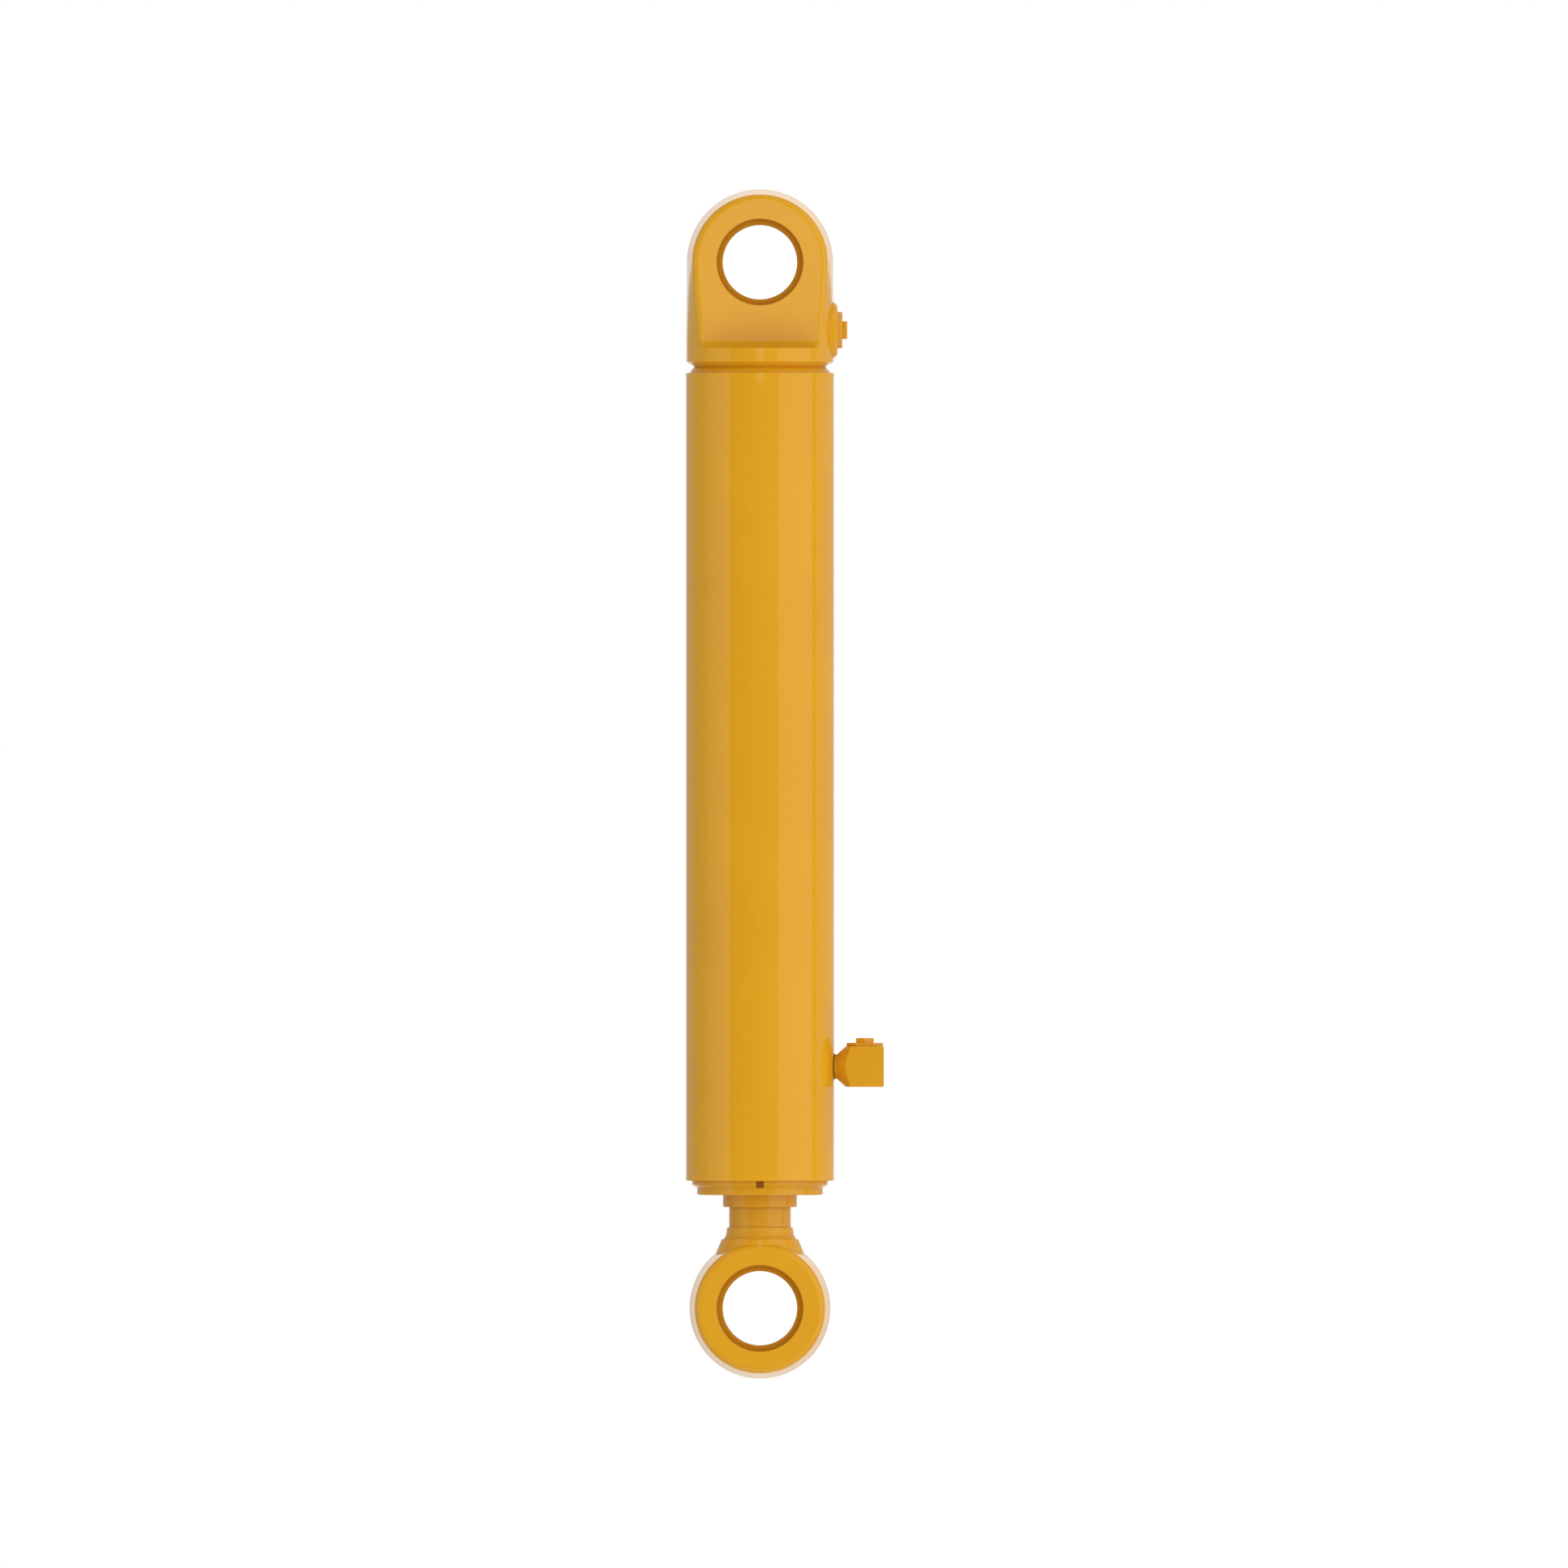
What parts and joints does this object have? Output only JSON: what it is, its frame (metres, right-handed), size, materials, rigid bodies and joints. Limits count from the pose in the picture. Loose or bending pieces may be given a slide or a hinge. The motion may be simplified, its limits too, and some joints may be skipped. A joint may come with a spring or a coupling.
{
  "type": "hydraulic cylinder",
  "caption": "Double-acting welded hydraulic cylinder with a forged pin eye at each end, side oil ports closed by hex plugs and a screw-in head gland.",
  "frame": {"origin": "centre of the cap-end eye's pin bore", "axes": "+Z along the cylinder's axis, from the rod eye to the cap eye; +Y along both pin bores; +X towards the two oil ports"},
  "size_m": [0.1597, 0.12, 0.9585],
  "materials": {
    "yellow_paint": "gloss enamel over forgings, tube and welds",
    "chrome_rod": "hard chrome, ground and polished",
    "bushing_steel": "hardened, ground bore, painted end faces",
    "piston_iron": "machined ductile iron",
    "plain_steel": "plain, oiled",
    "bearing_bronze": "bronze lined",
    "nitrile": "black nitrile",
    "urethane": "blue polyurethane",
    "ptfe": "filled PTFE",
    "wear_plastic": "glass-filled nylon"
  },
  "bodies": {
    "barrel": {"barrel_tube": "yellow_paint", "cap_end_eye": "yellow_paint", "cap_weld": "yellow_paint", "rod_port_elbow": "yellow_paint", "rod_port_weld": "yellow_paint", "head_gland": "yellow_paint", "cap_port_plug": "yellow_paint", "cap_port_test_plug": "yellow_paint", "rod_port_plug": "yellow_paint", "rod_port_test_plug": "yellow_paint", "cap_eye_bushing": "bushing_steel", "rod_bearing": "bearing_bronze", "gland_o_ring": "nitrile", "gland_dust_o_ring": "nitrile", "rod_buffer_energizer": "nitrile", "cap_port_plug_seal": "nitrile", "cap_port_test_plug_seal": "nitrile", "rod_port_plug_seal": "nitrile", "rod_port_test_plug_seal": "nitrile", "rod_u_cup": "urethane", "rod_wiper": "urethane", "gland_backup_ring": "ptfe", "rod_buffer_ring": "ptfe"},
    "piston_rings": {"piston_wear_rings": "wear_plastic", "piston_seal": "ptfe", "piston_seal_energizer": "nitrile"},
    "rod": {"piston_rod": "chrome_rod", "piston": "piston_iron", "piston_static_o_ring": "nitrile", "piston_nut": "plain_steel", "nut_set_screw": "plain_steel", "rod_weld": "yellow_paint", "rod_end_eye": "yellow_paint", "rod_eye_bushing": "bushing_steel"}
  },
  "joints": [
    {"name": "rod_slide", "type": "slide", "parent": "barrel", "child": "piston_rings", "axis": [0, 0, -1], "range_m": [0, 0.47]},
    {"name": "rod_turn", "type": "hinge", "parent": "piston_rings", "child": "rod", "pos_m": [0, 0, -0.843], "axis": [0, 0, 1], "continuous": true}
  ]
}
